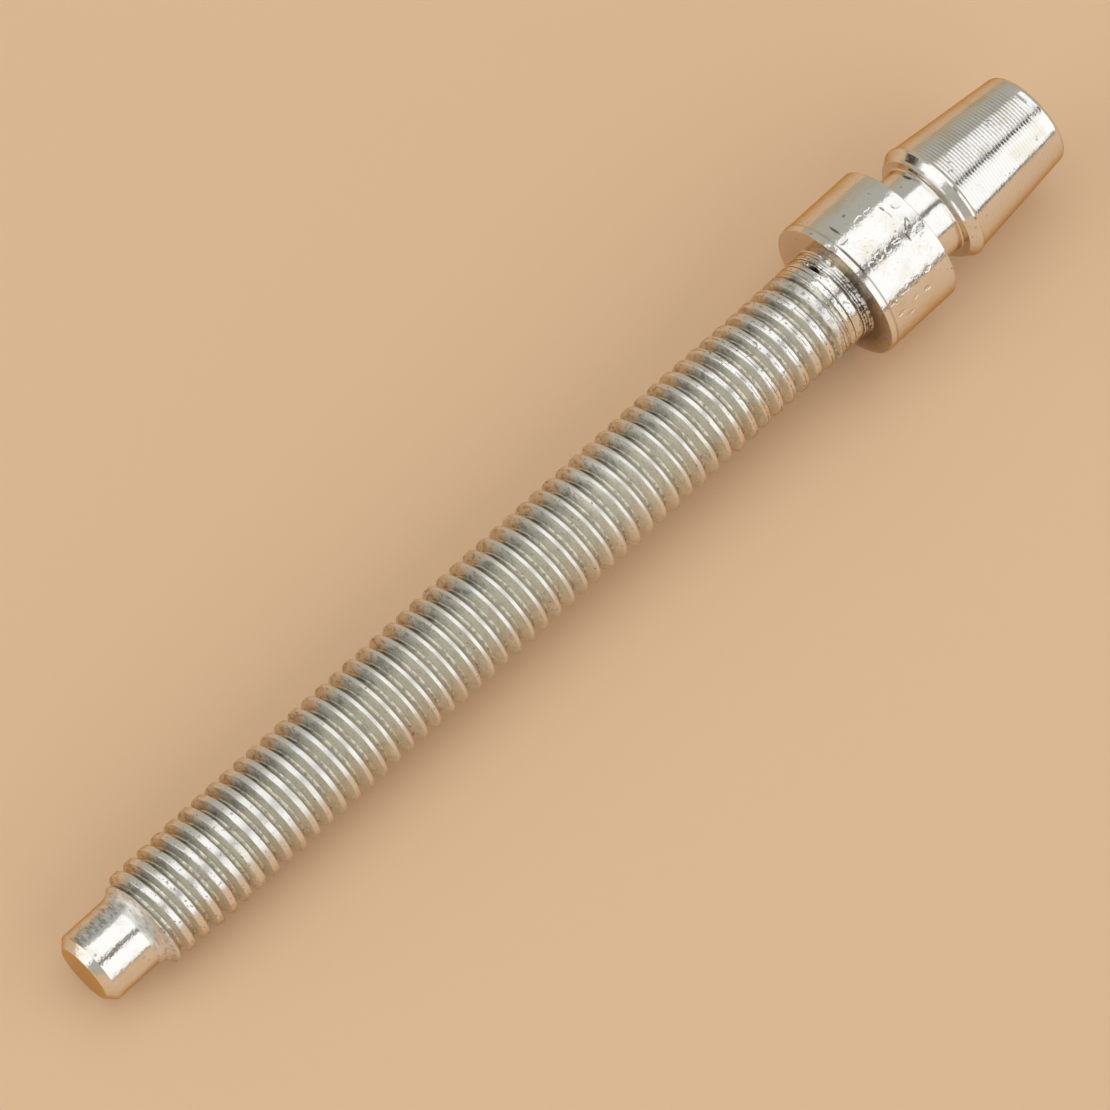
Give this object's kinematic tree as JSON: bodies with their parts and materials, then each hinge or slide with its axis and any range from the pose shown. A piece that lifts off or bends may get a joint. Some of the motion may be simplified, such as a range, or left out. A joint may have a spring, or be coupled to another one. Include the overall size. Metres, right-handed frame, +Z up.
{
  "type": "headlight adjustment screw",
  "caption": "Turned steel adjustment screw with a plain dog-point tip, a long fine metric thread, a round collar, a narrow neck and a tapered plain head.",
  "frame": {"origin": "centre of the bounding box, on the surface that the screw lies on", "axes": "+Z up; the screw's axis lies in the XZ plane, its tip towards -X and its head towards +X, climbing about 1.71 degrees from tip to head because it rests on its collar and the start of its thread"},
  "size_m": [0.0716, 0.0088, 0.0089],
  "materials": {
    "zinc_plated_steel": "bright zinc plate with a faint warm tint, fine turning lines and handling scratches"
  },
  "bodies": {
    "root": {"adjustment_screw": "zinc_plated_steel"}
  },
  "joints": []
}
